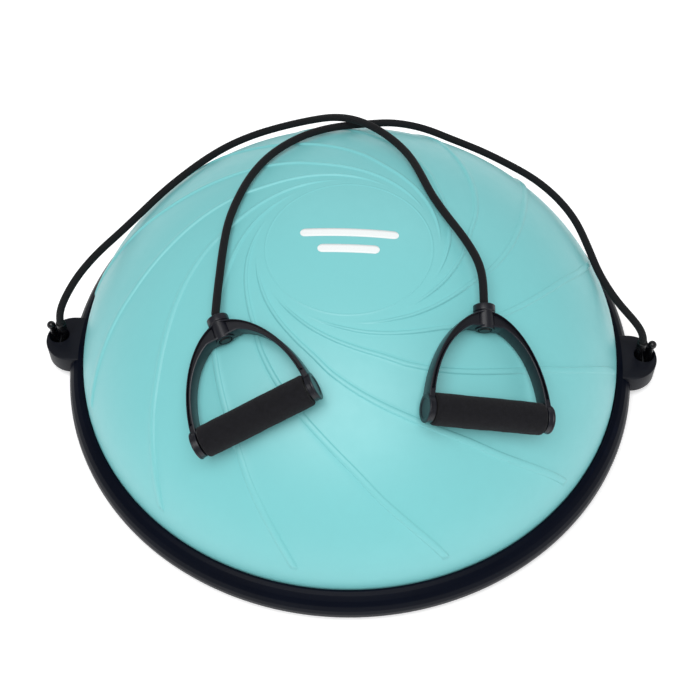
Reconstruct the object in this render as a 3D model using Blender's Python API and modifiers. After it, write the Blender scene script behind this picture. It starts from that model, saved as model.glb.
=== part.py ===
"""Balance dome trainer: an inflated dome clamped to a round platform, with two elastic pull cords.

Metres, +Z up, floor at z = 0, +Y towards the back, the two cord lugs on the X axis.
"""

import math

import bmesh
import bpy
from mathutils import Matrix, Vector

# Overall
CLEARANCE = 0.0003
ROUND_STEPS = 64

# Dome bladder
DOME_RADIUS = 0.2821
DOME_FOOT_Z = 0.0347
DOME_RISE = 0.1756
DOME_POWER = 1.786
DOME_WALL = 0.003

# Platform and clamping rim
PLATE_TOP_Z = 0.0150
PLATE_UNDER_Z = 0.0110
PLATE_RIB_Z = 0.0050
FLANGE_TOP_Z = 0.0222
SEAT_RADIUS = 0.2886
BEAD_BOTTOM_Z = 0.0225

# Feet and clamp screws
FOOT_COUNT = 8
FOOT_RING_RADIUS = 0.235
FOOT_RADIUS = 0.018
SCREW_COUNT = 8
SCREW_RING_RADIUS = 0.2925
SCREW_RADIUS = 0.0014
SCREW_TOP_Z = 0.0195

# Lugs at the two sides
LUG_CENTRE = 0.298
LUG_RADIUS = 0.0282
LUG_BOTTOM_Z = 0.0105
LUG_TOP_Z = 0.0340
EYE_X = 0.3130
EYE_Y = 0.004
EYE_LONG = 0.0108
EYE_WIDE = 0.0098
EYE_FLOOR_Z = 0.0124
PIN_RADIUS = 0.0017
PIN_Z = 0.0240
PIN_HALF = 0.0130

# Cord hooks
HOOK_WIRE = 0.0030
HOOK_BEND = 0.00525
HOOK_BEND_Z = 0.0215
SOCKET_RADIUS = 0.0053
SOCKET_BOTTOM_Z = 0.0420
SOCKET_TOP_Z = 0.0565
TIP_RADIUS = 0.0046

# Cords
CORD_RADIUS = 0.0040
CORD_STEP = 0.019
CORD_STRAIGHT = 0.0045

# Handles, in their own frame: X along the grip, Y towards the hub, Z away from the dome
YOKE_HALF_WIDTH = 0.0620
YOKE_RISE = 0.0985
YOKE_POWER = 1.8
YOKE_INNER_HALF = 0.0560
YOKE_INNER_RISE = 0.0860
YOKE_INNER_POWER = 2.0
YOKE_INNER_FLAT = 0.0825
YOKE_HALF_DEPTH = 0.0085
GROOVE_DEPTH = 0.0034
END_DISC_RADIUS = 0.0135
END_DISC_INNER = 0.0563
END_DISC_OUTER = 0.0630
HUB_BOTTOM = 0.0812
HUB_TOP = 0.1055
HUB_RADIUS = 0.0092
COLLAR_RADIUS = 0.0105
COLLAR_LENGTH = 0.0060
BORE_RADIUS = 0.0043
STOP_BORE_RADIUS = 0.0066
STOP_BORE_TOP = 0.0890
PIVOT = 0.1105
TAIL_REACH = 0.0090
FOAM_RADIUS = 0.0152
FOAM_BORE = 0.0083
FOAM_HALF = 0.0548
ROD_RADIUS = 0.0080
SPIGOT_RADIUS = 0.0060
SPIGOT_END = 0.0609

HANDLES = {
    "right": {
        "grip": (0.1349, -0.1632, 0.1664),
        "grip_line": (0.933, 0.145, -0.329),
        "to_hub": (-0.045, 0.955, 0.293),
        "cord_line": (-0.045, 0.955, 0.293),
    },
    "left": {
        "grip": (-0.0772, -0.1805, 0.1763),
        "grip_line": (0.869, 0.315, 0.380),
        "to_hub": (-0.406, 0.895, 0.187),
        "cord_line": (-0.010, 0.994, 0.104),
    },
}

# The way each cord lies, from its lug over the back of the dome to the handle on the far side.
# The last stretch, into the handle, is added from the handle's own position.
LEFT_ROUTE = [
    (-0.3078, 0.004, 0.0568),
    (-0.3068, 0.0052, 0.070),
    (-0.303, 0.011, 0.080),
    (-0.289, 0.033, 0.096),
    (-0.270, 0.058, 0.106),
    (-0.249, 0.083, 0.111),
    (-0.229, 0.107, 0.116),
    (-0.208, 0.133, 0.121),
    (-0.187, 0.158, 0.123),
    (-0.166, 0.183, 0.122),
    (-0.142, 0.206, 0.121),
    (-0.114, 0.224, 0.121),
    (-0.083, 0.234, 0.125),
    (-0.054, 0.232, 0.137),
    (-0.028, 0.2205, 0.1545),
    (-0.004, 0.203, 0.170),
    (0.018, 0.183, 0.1795),
    (0.039, 0.159, 0.186),
    (0.056, 0.132, 0.192),
    (0.068, 0.102, 0.198),
    (0.079, 0.072, 0.202),
    (0.094, 0.042, 0.205),
    (0.110, 0.014, 0.207),
    (0.124, -0.016, 0.208),
    (0.127, -0.027, 0.207),
    (0.129, -0.037, 0.205),
]
RIGHT_ROUTE = [
    (0.3078, 0.004, 0.0568),
    (0.306, 0.0052, 0.069),
    (0.2985, 0.0105, 0.0785),
    (0.277, 0.031, 0.0905),
    (0.260, 0.061, 0.097),
    (0.249, 0.093, 0.102),
    (0.237, 0.126, 0.105),
    (0.219, 0.155, 0.107),
    (0.195, 0.181, 0.108),
    (0.167, 0.201, 0.109),
    (0.137, 0.217, 0.112),
    (0.104, 0.228, 0.118),
    (0.071, 0.234, 0.128),
    (0.038, 0.231, 0.138),
    (0.007, 0.218, 0.148),
    (-0.023, 0.203, 0.158),
    (-0.049, 0.183, 0.168),
    (-0.072, 0.158, 0.177),
    (-0.091, 0.130, 0.184),
    (-0.105, 0.098, 0.190),
    (-0.114, 0.065, 0.195),
    (-0.120, 0.032, 0.1985),
    (-0.122, -0.003, 0.200),
    (-0.1222, -0.038, 0.200),
    (-0.1223, -0.059, 0.199),
]

# Inflation valve, low on the back of the dome
VALVE_HEIGHT_ANGLE = 0.22
SEAT_BORE = 0.0040
SEAT_BODY = 0.0070
SEAT_FLANGE = 0.0110
PLUG_STEM = 0.0037
PLUG_HEAD = 0.0090


# ---------------------------------------------------------------- helpers


def clear_scene():
    for thing in list(bpy.data.objects):
        bpy.data.objects.remove(thing, do_unlink=True)
    for group in list(bpy.data.collections):
        bpy.data.collections.remove(group)


def make_group(name):
    group = bpy.data.collections.new(name)
    bpy.context.scene.collection.children.link(group)
    return group


def make_material(name, colour, roughness, metallic=0.0):
    material = bpy.data.materials.new(name)
    material.use_nodes = True
    shader = material.node_tree.nodes["Principled BSDF"]
    shader.inputs["Base Color"].default_value = (*colour, 1.0)
    shader.inputs["Roughness"].default_value = roughness
    shader.inputs["Metallic"].default_value = metallic
    material.diffuse_color = (*colour, 1.0)
    return material


def add_part(name, mesh, material, group, smooth=True):
    part = bpy.data.objects.new(name, mesh)
    group.objects.link(part)
    mesh.materials.clear()
    mesh.materials.append(material)
    mesh.polygons.foreach_set("use_smooth", [smooth] * len(mesh.polygons))
    return part


def add_cutter(name, mesh, group):
    cutter = bpy.data.objects.new(name, mesh)
    group.objects.link(cutter)
    cutter.hide_render = True
    cutter.display_type = "WIRE"
    return cutter


def as_mesh(source, name):
    """The evaluated mesh of a working object, which is removed."""
    bpy.context.view_layer.update()
    graph = bpy.context.evaluated_depsgraph_get()
    mesh = bpy.data.meshes.new_from_object(source.evaluated_get(graph))
    mesh.name = name
    old = source.data
    bpy.data.objects.remove(source, do_unlink=True)
    if isinstance(old, bpy.types.Curve):
        bpy.data.curves.remove(old)
    return mesh


def weld(mesh, distance=0.00001):
    body = bmesh.new()
    body.from_mesh(mesh)
    bmesh.ops.remove_doubles(body, verts=body.verts, dist=distance)
    bmesh.ops.recalc_face_normals(body, faces=body.faces)
    body.to_mesh(mesh)
    body.free()
    return mesh


def turned(name, profile, steps=ROUND_STEPS, closed=False):
    """A solid of revolution about Z from (radius, height) points, top to bottom down the outer side."""
    mesh = bpy.data.meshes.new(name)
    points = [(r, 0.0, z) for r, z in profile]
    edges = [(i, i + 1) for i in range(len(points) - 1)]
    if closed:
        edges.append((len(points) - 1, 0))
    mesh.from_pydata(points, edges, [])
    work = bpy.data.objects.new(name, mesh)
    bpy.context.scene.collection.objects.link(work)
    screw = work.modifiers.new("turn", "SCREW")
    screw.axis = "Z"
    screw.angle = 2 * math.pi
    screw.steps = steps
    screw.render_steps = steps
    screw.use_merge_vertices = True
    screw.merge_threshold = 0.00001
    screw.use_smooth_shade = True
    return weld(as_mesh(work, name))


def rod_mesh(name, radius, low, high, steps=24):
    return turned(name, [(0, high), (radius, high), (radius, low), (0, low)], steps)


def prism(name, outlines, low, high):
    """Flat outlines in XY filled and extruded from low to high."""
    curve = bpy.data.curves.new(name, "CURVE")
    curve.dimensions = "2D"
    curve.fill_mode = "BOTH"
    curve.extrude = (high - low) / 2
    for outline in outlines:
        spline = curve.splines.new("POLY")
        spline.points.add(len(outline) - 1)
        for point, (x, y) in zip(spline.points, outline):
            point.co = (x, y, 0, 1)
        spline.use_cyclic_u = True
    work = bpy.data.objects.new(name, curve)
    bpy.context.scene.collection.objects.link(work)
    mesh = as_mesh(work, name)
    mesh.transform(Matrix.Translation((0, 0, (high + low) / 2)))
    return weld(mesh)


def tube(name, points, radius, resolution=2):
    """A round bar along a list of points, with flat ends."""
    curve = bpy.data.curves.new(name, "CURVE")
    curve.dimensions = "3D"
    curve.bevel_depth = radius
    curve.bevel_resolution = resolution
    curve.use_fill_caps = True
    spline = curve.splines.new("POLY")
    spline.points.add(len(points) - 1)
    for point, co in zip(spline.points, points):
        point.co = (*co, 1)
    work = bpy.data.objects.new(name, curve)
    bpy.context.scene.collection.objects.link(work)
    return weld(as_mesh(work, name))


def ball_mesh(name, centre, radius):
    points = []
    for i in range(9):
        a = math.pi * i / 8
        points.append((radius * math.sin(a), radius * math.cos(a)))
    points[0] = (0, radius)
    points[-1] = (0, -radius)
    mesh = turned(name, points, 16)
    mesh.transform(Matrix.Translation(centre))
    return mesh


def combine(target, other, operation):
    step = target.modifiers.new(f"{operation.lower()}_{other.name}", "BOOLEAN")
    step.operation = operation
    step.solver = "EXACT"
    step.object = other
    return step


def smooth_line(points, spacing):
    """Points at an even spacing along a Catmull-Rom curve through the given ones."""
    route = [Vector(p) for p in points]
    route = [2 * route[0] - route[1]] + route + [2 * route[-1] - route[-2]]
    fine = []
    for i in range(1, len(route) - 2):
        p0, p1, p2, p3 = route[i - 1 : i + 3]
        knots = [0.0]
        for a, b in ((p0, p1), (p1, p2), (p2, p3)):
            knots.append(knots[-1] + math.sqrt((b - a).length))
        t0, t1, t2, t3 = knots
        for k in range(24):
            t = t1 + (t2 - t1) * k / 24
            a1 = p0 * ((t1 - t) / (t1 - t0)) + p1 * ((t - t0) / (t1 - t0))
            a2 = p1 * ((t2 - t) / (t2 - t1)) + p2 * ((t - t1) / (t2 - t1))
            a3 = p2 * ((t3 - t) / (t3 - t2)) + p3 * ((t - t2) / (t3 - t2))
            b1 = a1 * ((t2 - t) / (t2 - t0)) + a2 * ((t - t0) / (t2 - t0))
            b2 = a2 * ((t3 - t) / (t3 - t1)) + a3 * ((t - t1) / (t3 - t1))
            fine.append(b1 * ((t2 - t) / (t2 - t1)) + b2 * ((t - t1) / (t2 - t1)))
    fine.append(route[-2])
    lengths = [0.0]
    for a, b in zip(fine, fine[1:]):
        lengths.append(lengths[-1] + (b - a).length)
    count = max(2, round(lengths[-1] / spacing))
    even = []
    j = 0
    for i in range(count + 1):
        want = lengths[-1] * i / count
        while j < len(lengths) - 2 and lengths[j + 1] < want:
            j += 1
        part = (want - lengths[j]) / (lengths[j + 1] - lengths[j])
        even.append(fine[j].lerp(fine[j + 1], part))
    return even


# ---------------------------------------------------------------- dome


def dome_point(angle, inset=0.0):
    """(radius, height) on the dome's wall, angle 0 at the rim and pi/2 at the top."""
    radius = DOME_RADIUS * math.cos(angle)
    height = DOME_FOOT_Z + DOME_RISE * math.sin(angle) ** (2 / DOME_POWER)
    if inset:
        step = 0.002
        low = dome_point(max(angle - step, 0.0))
        high = dome_point(min(angle + step, math.pi / 2))
        along = Vector((high[0] - low[0], high[1] - low[1])).normalized()
        radius -= along.y * inset
        height += along.x * inset
    return max(radius, 0.0), height


def dome_profile():
    profile = [(0.0, DOME_FOOT_Z + DOME_RISE)]
    for i in range(1, 13):
        profile.append(dome_point(math.pi / 2 * (1 - i / 12)))
    profile += [
        (DOME_RADIUS, 0.0305),
        (0.2884, 0.0285),
        (0.2884, BEAD_BOTTOM_Z),
        (0.2785, BEAD_BOTTOM_Z),
    ]
    for i in range(0, 8):
        profile.append(dome_point(0.10 + (math.pi / 2 - 0.22) * i / 7, DOME_WALL))
    profile.append((0.0, DOME_FOOT_Z + DOME_RISE - DOME_WALL))
    return profile


def valve_frame():
    """Where the valve sits: its Z axis points straight out of the dome's back."""
    radius, height = dome_point(VALVE_HEIGHT_ANGLE)
    a = dome_point(VALVE_HEIGHT_ANGLE - 0.01)
    b = dome_point(VALVE_HEIGHT_ANGLE + 0.01)
    along = Vector((0, b[0] - a[0], b[1] - a[1])).normalized()
    outward = Vector((1, 0, 0)).cross(along) * -1
    if outward.y < 0:
        outward = -outward
    turn = Vector((0, 0, 1)).rotation_difference(outward).to_matrix().to_4x4()
    return Matrix.Translation((0, radius, height)) @ turn


def build_dome(group, cutters, materials):
    dome_mesh = turned("dome_bladder", dome_profile())
    dome = add_part("dome_bladder", dome_mesh, materials["pvc"], group)
    frame = valve_frame()
    hole = add_cutter(
        "valve_hole_cutter",
        rod_mesh("valve_hole_cutter", SEAT_BODY + CLEARANCE, -0.012, 0.010),
        cutters,
    )
    hole.matrix_world = frame
    combine(dome, hole, "DIFFERENCE")
    seat_profile = [
        (SEAT_BORE, 0.0030),
        (SEAT_FLANGE - 0.002, 0.0030),
        (SEAT_FLANGE, 0.0018),
        (SEAT_FLANGE, 0.0010),
        (SEAT_BODY, 0.0010),
        (SEAT_BODY, -0.0090),
        (SEAT_BORE, -0.0090),
    ]
    seat = add_part(
        "valve_seat", turned("valve_seat", seat_profile, 24, closed=True), materials["valve"], group
    )
    seat.matrix_world = frame
    plug_profile = [
        (0, 0.0060),
        (PLUG_HEAD - 0.0015, 0.0060),
        (PLUG_HEAD, 0.0048),
        (PLUG_HEAD, 0.0033),
        (PLUG_STEM, 0.0033),
        (PLUG_STEM, -0.0070),
        (PLUG_STEM - 0.0012, -0.0082),
        (0, -0.0082),
    ]
    plug = add_part("valve_plug", turned("valve_plug", plug_profile, 24), materials["plug"], group)
    plug.matrix_world = frame


# ---------------------------------------------------------------- platform and rim


def platform_profile():
    return [
        (0, PLATE_TOP_Z),
        (0.2560, PLATE_TOP_Z),
        (0.2630, FLANGE_TOP_Z),
        (SEAT_RADIUS, FLANGE_TOP_Z),
        (SEAT_RADIUS, 0.0097),
        (0.2955, 0.0097),
        (0.2955, PLATE_RIB_Z),
        (0.2800, PLATE_RIB_Z),
        (0.2780, PLATE_UNDER_Z),
        (0.2000, PLATE_UNDER_Z),
        (0.2000, PLATE_RIB_Z),
        (0.1960, PLATE_RIB_Z),
        (0.1960, PLATE_UNDER_Z),
        (0.1000, PLATE_UNDER_Z),
        (0.1000, PLATE_RIB_Z),
        (0.0960, PLATE_RIB_Z),
        (0.0960, PLATE_UNDER_Z),
        (0, PLATE_UNDER_Z),
    ]


RIM_OUTSIDE = [
    (0.2824, 0.0350),
    (0.2832, 0.0358),
    (0.2850, 0.0358),
    (0.2890, 0.0344),
    (0.2935, 0.0312),
    (0.2970, 0.0268),
    (0.2992, 0.0215),
    (0.3000, 0.0160),
    (0.2996, 0.0105),
    (0.2980, 0.0060),
    (0.2968, 0.0035),
]


def rim_profile():
    return RIM_OUTSIDE + [
        (0.2958, 0.0035),
        (0.2958, 0.0100),
        (0.2889, 0.0100),
        (0.2889, 0.0290),
        (0.2824, 0.0309),
    ]


def ring_of_points(count, radius, start=0.0):
    for i in range(count):
        angle = start + 2 * math.pi * i / count
        yield i, angle, radius * math.cos(angle), radius * math.sin(angle)


def build_platform(group, cutters, materials):
    platform = add_part(
        "base_platform", turned("base_platform", platform_profile()), materials["plate"], group
    )
    rim_mesh = turned("clamp_rim", rim_profile(), closed=True)
    rim = add_part("clamp_rim", rim_mesh, materials["rim"], group)
    start = math.pi / SCREW_COUNT
    for i, _, x, y in ring_of_points(SCREW_COUNT, SCREW_RING_RADIUS, start):
        name = f"screw_hole_cutter_{i + 1}"
        hole = rod_mesh(name, SCREW_RADIUS + CLEARANCE, 0.0, SCREW_TOP_Z + 0.0005, 10)
        cutter = add_cutter(name, hole, cutters)
        cutter.location = (x, y, 0)
        combine(platform, cutter, "DIFFERENCE")
        combine(rim, cutter, "DIFFERENCE")
        profile = [
            (0, SCREW_TOP_Z),
            (SCREW_RADIUS, SCREW_TOP_Z),
            (SCREW_RADIUS, PLATE_RIB_Z - CLEARANCE),
            (0.0027, PLATE_RIB_Z - CLEARANCE),
            (0.0022, 0.0028),
            (0, 0.0028),
        ]
        name = f"clamp_screw_{i + 1}"
        screw = add_part(name, turned(name, profile, 10), materials["steel"], group)
        screw.location = (x, y, 0)
    for i, _, x, y in ring_of_points(FOOT_COUNT, FOOT_RING_RADIUS):
        name = f"foot_pad_{i + 1}"
        profile = [
            (0, PLATE_UNDER_Z - CLEARANCE),
            (FOOT_RADIUS - 0.002, PLATE_UNDER_Z - CLEARANCE),
            (FOOT_RADIUS, 0.0015),
            (FOOT_RADIUS - 0.0015, 0),
            (0, 0),
        ]
        foot = add_part(name, turned(name, profile, 18), materials["rubber"], group)
        foot.location = (x, y, 0)
    return platform, rim


# ---------------------------------------------------------------- lugs and hooks


def half_round(sign):
    """The lug's plan: a half disc whose straight side is buried in the rim's slope."""
    outline = [(sign * 0.286, -LUG_RADIUS)]
    for i in range(17):
        angle = -math.pi / 2 + math.pi * i / 16
        x = LUG_CENTRE + LUG_RADIUS * math.cos(angle)
        outline.append((sign * x, LUG_RADIUS * math.sin(angle)))
    outline.append((sign * 0.286, LUG_RADIUS))
    return outline


def oval(x, y, half_x, half_y, count=20):
    straight = half_x - half_y
    points = []
    for i in range(count):
        angle = 2 * math.pi * (i + 0.5) / count
        shift = straight if math.cos(angle) > 0 else -straight
        points.append((x + shift + half_y * math.cos(angle), y + half_y * math.sin(angle)))
    return points


def rim_envelope():
    """The rim's outside grown by the clearance, as a filled body to cut the lugs with."""
    grown = [(0, 0.0370), (0.2700, 0.0370)]
    for r, z in RIM_OUTSIDE[2:]:
        grown.append((r + CLEARANCE, z + CLEARANCE * 0.6))
    grown[-1] = (grown[-1][0], 0.0005)
    grown.append((0, 0.0005))
    return grown


def build_lug(side, sign, envelope, group, cutters, materials):
    lug = add_part(
        f"lug_{side}",
        prism(f"lug_{side}", [half_round(sign)], LUG_BOTTOM_Z, LUG_TOP_Z),
        materials["lug"],
        group,
        smooth=False,
    )
    combine(lug, envelope, "DIFFERENCE")
    eye = add_cutter(
        f"eye_cutter_{side}",
        prism(f"eye_cutter_{side}", [oval(sign * EYE_X, EYE_Y, EYE_LONG, EYE_WIDE)], EYE_FLOOR_Z, 0.05),
        cutters,
    )
    combine(lug, eye, "DIFFERENCE")
    along_y = Matrix.Rotation(-math.pi / 2, 4, "X")
    pin_place = Matrix.Translation((sign * EYE_X, EYE_Y, PIN_Z)) @ along_y
    hole = add_cutter(
        f"pin_hole_cutter_{side}",
        rod_mesh(f"pin_hole_cutter_{side}", PIN_RADIUS + CLEARANCE, -PIN_HALF, PIN_HALF, 14),
        cutters,
    )
    hole.matrix_world = pin_place
    combine(lug, hole, "DIFFERENCE")
    pin = add_part(
        f"lug_pin_{side}",
        rod_mesh(f"lug_pin_{side}", PIN_RADIUS, CLEARANCE - PIN_HALF, PIN_HALF - CLEARANCE, 14),
        materials["steel"],
        group,
    )
    pin.matrix_world = pin_place


def hook_line(sign):
    """Down through the eye, round under the pin, and up to the rounded tip."""
    inner = EYE_X - HOOK_BEND
    points = [(inner, 0.0440), (inner, 0.0330)]
    for i in range(9):
        angle = math.pi + math.pi * i / 8
        x = EYE_X + HOOK_BEND * math.cos(angle)
        points.append((x, HOOK_BEND_Z + HOOK_BEND * math.sin(angle)))
    outer = EYE_X + HOOK_BEND
    points += [(outer, 0.0350), (outer + 0.0001, 0.0440), (0.3185, 0.0490)]
    return [(sign * x, EYE_Y, z) for x, z in points]


def build_hook(side, sign, group, cutters, materials):
    name = f"cord_hook_{side}"
    hook = add_part(name, tube(name, hook_line(sign), HOOK_WIRE), materials["hook"], group)
    tip = add_cutter(
        f"hook_tip_body_{side}",
        ball_mesh(f"hook_tip_body_{side}", (sign * 0.3186, EYE_Y, 0.0513), TIP_RADIUS),
        cutters,
    )
    combine(hook, tip, "UNION")
    profile = [
        (0, SOCKET_TOP_Z),
        (SOCKET_RADIUS - 0.0006, SOCKET_TOP_Z),
        (SOCKET_RADIUS, SOCKET_TOP_Z - 0.0010),
        (SOCKET_RADIUS, SOCKET_BOTTOM_Z + 0.0030),
        (HOOK_WIRE - 0.0004, SOCKET_BOTTOM_Z),
        (0, SOCKET_BOTTOM_Z),
    ]
    name = f"hook_socket_body_{side}"
    socket = add_cutter(name, turned(name, profile, 16), cutters)
    socket.location = (sign * (EYE_X - HOOK_BEND), EYE_Y, 0)
    combine(hook, socket, "UNION")


# ---------------------------------------------------------------- handles


def handle_frame(place):
    across = Vector(place["grip_line"]).normalized()
    to_hub = Vector(place["to_hub"])
    to_hub = (to_hub - across * to_hub.dot(across)).normalized()
    away = across.cross(to_hub)
    turn = Matrix((across, to_hub, away)).transposed().to_4x4()
    return Matrix.Translation(place["grip"]) @ turn


def arch(half_width, rise, roundness, first, last, count):
    """Points on the yoke's bow, by angle from the grip line on the right to the one on the left."""
    power = 2 / roundness
    points = []
    for i in range(count + 1):
        angle = first + (last - first) * i / count
        c, s = math.cos(angle), math.sin(angle)
        x = math.copysign(abs(c) ** power, c) * half_width
        points.append((x, abs(s) ** power * rise))
    return points


def yoke_outline():
    """The bow's outer edge, then its inner edge with a flat across the top under the hub."""
    outside = arch(YOKE_HALF_WIDTH, YOKE_RISE, YOKE_POWER, 0, math.pi, 28)
    side = arch(YOKE_INNER_HALF, YOKE_INNER_RISE, YOKE_INNER_POWER, math.pi, math.pi / 2, 14)
    side = [point for point in side if point[1] < YOKE_INNER_FLAT - 0.0005]
    share = (YOKE_INNER_FLAT / YOKE_INNER_RISE) ** YOKE_INNER_POWER
    side.append((-YOKE_INNER_HALF * (1 - share) ** (1 / YOKE_INNER_POWER), YOKE_INNER_FLAT))
    return outside + side + [(-x, y) for x, y in reversed(side)]


def groove_outlines():
    """The channel sunk into each arm's face, right then left."""
    outlines = []
    edge = 0.0013
    for first, last in ((0.20, 1.50), (math.pi - 1.50, math.pi - 0.20)):
        outer = arch(YOKE_HALF_WIDTH - edge, YOKE_RISE - 0.0020, YOKE_POWER, first, last, 10)
        inner = arch(YOKE_INNER_HALF + edge, YOKE_INNER_RISE + 0.0022, YOKE_INNER_POWER, last, first, 10)
        outlines.append(outer + inner)
    return outlines


def hub_profile():
    return [
        (0, HUB_TOP),
        (COLLAR_RADIUS - 0.0010, HUB_TOP),
        (COLLAR_RADIUS, HUB_TOP - 0.0010),
        (COLLAR_RADIUS, HUB_TOP - COLLAR_LENGTH),
        (HUB_RADIUS, HUB_TOP - COLLAR_LENGTH - 0.0010),
        (HUB_RADIUS, HUB_BOTTOM),
        (0, HUB_BOTTOM),
    ]


TO_LINE_X = Matrix.Rotation(math.pi / 2, 4, "Y")
TO_LINE_Y = Matrix.Rotation(-math.pi / 2, 4, "X")


def build_yoke(side, frame, group, cutters, materials):
    name = f"yoke_{side}"
    mesh = prism(name, [yoke_outline()], -YOKE_HALF_DEPTH, YOKE_HALF_DEPTH)
    yoke = add_part(name, mesh, materials["yoke"], group, smooth=False)
    yoke.matrix_world = frame
    floors = {"front": YOKE_HALF_DEPTH - GROOVE_DEPTH, "back": -YOKE_HALF_DEPTH - 0.004}
    for face, low in floors.items():
        high = low + GROOVE_DEPTH + 0.004
        for arm, outline in zip(("right", "left"), groove_outlines()):
            cut_name = f"groove_cutter_{side}_{face}_{arm}"
            cutter = add_cutter(cut_name, prism(cut_name, [outline], low, high), cutters)
            cutter.matrix_world = frame
            combine(yoke, cutter, "DIFFERENCE")
    hub = turned(f"hub_body_{side}", hub_profile(), 24)
    hub_body = add_cutter(f"hub_body_{side}", hub, cutters)
    hub_body.matrix_world = frame @ TO_LINE_Y
    combine(yoke, hub_body, "UNION")
    for end, sign in (("right", 1), ("left", -1)):
        low, high = sorted((sign * END_DISC_INNER, sign * END_DISC_OUTER))
        disc_name = f"end_disc_body_{side}_{end}"
        disc = add_cutter(disc_name, rod_mesh(disc_name, END_DISC_RADIUS, low, high, 28), cutters)
        disc.matrix_world = frame @ TO_LINE_X
        combine(yoke, disc, "UNION")
        low, high = sorted((sign * (END_DISC_INNER - 0.004), sign * (SPIGOT_END + CLEARANCE)))
        bore_name = f"spigot_cutter_{side}_{end}"
        bore_mesh = rod_mesh(bore_name, SPIGOT_RADIUS + CLEARANCE, low, high, 16)
        bore = add_cutter(bore_name, bore_mesh, cutters)
        bore.matrix_world = frame @ TO_LINE_X
        combine(yoke, bore, "DIFFERENCE")
    bore_profile = [
        (0, HUB_TOP + 0.002),
        (BORE_RADIUS, HUB_TOP + 0.002),
        (BORE_RADIUS, STOP_BORE_TOP),
        (STOP_BORE_RADIUS, STOP_BORE_TOP),
        (STOP_BORE_RADIUS, HUB_BOTTOM - 0.002),
        (0, HUB_BOTTOM - 0.002),
    ]
    bore_name = f"hub_bore_cutter_{side}"
    bore = add_cutter(bore_name, turned(bore_name, bore_profile, 16), cutters)
    bore.matrix_world = frame @ TO_LINE_Y
    combine(yoke, bore, "DIFFERENCE")


def build_grip(side, frame, group, materials):
    foam_profile = [
        (FOAM_BORE, FOAM_HALF),
        (FOAM_RADIUS - 0.0020, FOAM_HALF),
        (FOAM_RADIUS - 0.0005, FOAM_HALF - 0.0008),
        (FOAM_RADIUS, FOAM_HALF - 0.0025),
        (FOAM_RADIUS, 0.0025 - FOAM_HALF),
        (FOAM_RADIUS - 0.0005, 0.0008 - FOAM_HALF),
        (FOAM_RADIUS - 0.0020, -FOAM_HALF),
        (FOAM_BORE, -FOAM_HALF),
    ]
    name = f"foam_grip_{side}"
    foam = add_part(name, turned(name, foam_profile, 24, closed=True), materials["foam"], group)
    foam.matrix_world = frame @ TO_LINE_X
    shoulder = END_DISC_INNER - 0.0008
    rod_profile = [
        (0, SPIGOT_END),
        (SPIGOT_RADIUS, SPIGOT_END),
        (SPIGOT_RADIUS, shoulder),
        (ROD_RADIUS, shoulder),
        (ROD_RADIUS, -shoulder),
        (SPIGOT_RADIUS, -shoulder),
        (SPIGOT_RADIUS, -SPIGOT_END),
        (0, -SPIGOT_END),
    ]
    name = f"grip_rod_{side}"
    rod = add_part(name, turned(name, rod_profile, 16), materials["rod"], group)
    rod.matrix_world = frame @ TO_LINE_X


def cord_way(side, frame):
    """The pivot where the cord bends at the hub's mouth, and the way the cord leaves it."""
    along = Vector(HANDLES[side]["cord_line"]).normalized()
    return frame @ Vector((0, PIVOT, 0)), along


def build_cord_end(side, frame, group, materials):
    """The cord's last centimetres: the tail outside the hub, and the round-nosed piece held in it."""
    pivot, along = cord_way(side, frame)
    name = f"cord_tail_{side}"
    mesh = rod_mesh(name, CORD_RADIUS, CORD_RADIUS + CLEARANCE, TAIL_REACH, 12)
    tail = add_part(name, mesh, materials["cord"], group)
    turn = Vector((0, 0, 1)).rotation_difference(along).to_matrix().to_4x4()
    tail.matrix_world = Matrix.Translation(pivot) @ turn
    name = f"cord_stub_{side}"
    profile = []
    for i in range(6):
        angle = math.pi / 2 * i / 5
        profile.append((CORD_RADIUS * math.sin(angle), PIVOT + CORD_RADIUS * math.cos(angle)))
    profile[0] = (0, PIVOT + CORD_RADIUS)
    profile += [(CORD_RADIUS, STOP_BORE_TOP), (0, STOP_BORE_TOP)]
    stub = add_part(name, turned(name, profile, 12), materials["cord"], group)
    stub.matrix_world = frame @ TO_LINE_Y
    name = f"cord_stop_{side}"
    profile = [
        (0, STOP_BORE_TOP - CLEARANCE),
        (STOP_BORE_RADIUS - CLEARANCE, STOP_BORE_TOP - CLEARANCE),
        (STOP_BORE_RADIUS - CLEARANCE, HUB_BOTTOM + 0.0010),
        (STOP_BORE_RADIUS - 0.0020, HUB_BOTTOM - 0.0008),
        (0, HUB_BOTTOM - 0.0008),
    ]
    stop = add_part(name, turned(name, profile, 16), materials["stop"], group)
    stop.matrix_world = frame @ TO_LINE_Y


def build_cord(side, route, handle_side, frame, group, materials):
    """One cord from its hook's socket to just short of the tail at the handle."""
    first = [Vector(route[0]) + Vector((0, 0, d)) for d in (0.0, CORD_STRAIGHT)]
    pivot, along = cord_way(handle_side, frame)
    last = [pivot + along * (TAIL_REACH + d) for d in (CORD_STRAIGHT, CLEARANCE)]
    line = smooth_line(first + route[1:] + last[:1], CORD_STEP)
    middle = [p for p in line if (p - first[0]).length > 0.011 and (p - last[1]).length > 0.011]
    points = first + middle + last
    name = f"cord_{side}"
    add_part(name, tube(name, points, CORD_RADIUS), materials["cord"], group)


# ---------------------------------------------------------------- assembly


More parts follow.
